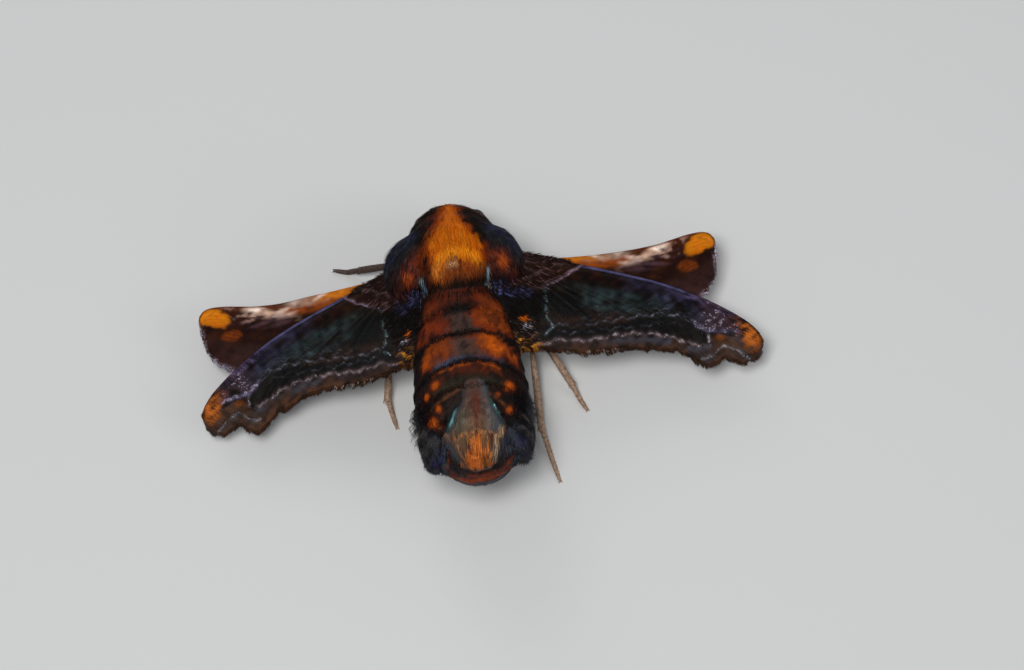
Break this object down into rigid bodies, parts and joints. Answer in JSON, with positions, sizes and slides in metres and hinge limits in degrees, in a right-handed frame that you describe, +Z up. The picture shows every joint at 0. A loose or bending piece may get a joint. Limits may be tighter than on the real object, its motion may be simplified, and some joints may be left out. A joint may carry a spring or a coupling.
{
  "type": "hawk moth",
  "caption": "Life-size hawk moth at rest: humped furry body, curled-up tail, swept drooping forewings over hindwings pushed out in front, bent legs on small flat feet.",
  "frame": {"origin": "on the floor under the middle of the bounding box", "axes": "+X is the moth's right, +Y is towards its head, +Z is up"},
  "size_m": [0.0566, 0.0326, 0.0139],
  "materials": {
    "orange_fur": "dense hair-scales, orange down the middle of the back",
    "umber_fur": "dense hair-scales, dark brown with rust and orange patches",
    "black_fur": "long black-brown hair-scales with a blue-violet sheen",
    "crest_fur": "grey-pink crest scales above an orange tail tuft",
    "forewing_scales": "wing membrane covered in black-brown scales with lilac lines",
    "hindwing_scales": "wing membrane covered in rust-brown scales with an orange tip",
    "eye": "glossy compound eye",
    "leg": "scaled cuticle, pinkish tan"
  },
  "bodies": {
    "root": {"abdomen_base": "umber_fur", "abdomen_end": "umber_fur", "abdomen_front": "umber_fur", "abdomen_middle": "umber_fur", "antenna_left": "leg", "antenna_right": "leg", "eye_left": "eye", "eye_right": "eye", "femur_fore_left": "leg", "femur_fore_right": "leg", "femur_hind_left": "leg", "femur_hind_right": "leg", "femur_mid_left": "leg", "femur_mid_right": "leg", "forewing_left": "forewing_scales", "forewing_right": "forewing_scales", "head": "umber_fur", "hindwing_left": "hindwing_scales", "hindwing_right": "hindwing_scales", "palp_left": "umber_fur", "palp_right": "umber_fur", "proboscis": "leg", "tail_crest": "crest_fur", "tail_tuft_left": "black_fur", "tail_tuft_right": "black_fur", "tarsus_fore_left": "leg", "tarsus_fore_right": "leg", "tarsus_hind_left": "leg", "tarsus_hind_right": "leg", "tarsus_mid_left": "leg", "tarsus_mid_right": "leg", "tegula_left": "black_fur", "tegula_right": "black_fur", "thorax": "orange_fur", "tibia_fore_left": "leg", "tibia_fore_right": "leg", "tibia_hind_left": "leg", "tibia_hind_right": "leg", "tibia_mid_left": "leg", "tibia_mid_right": "leg"}
  },
  "joints": []
}
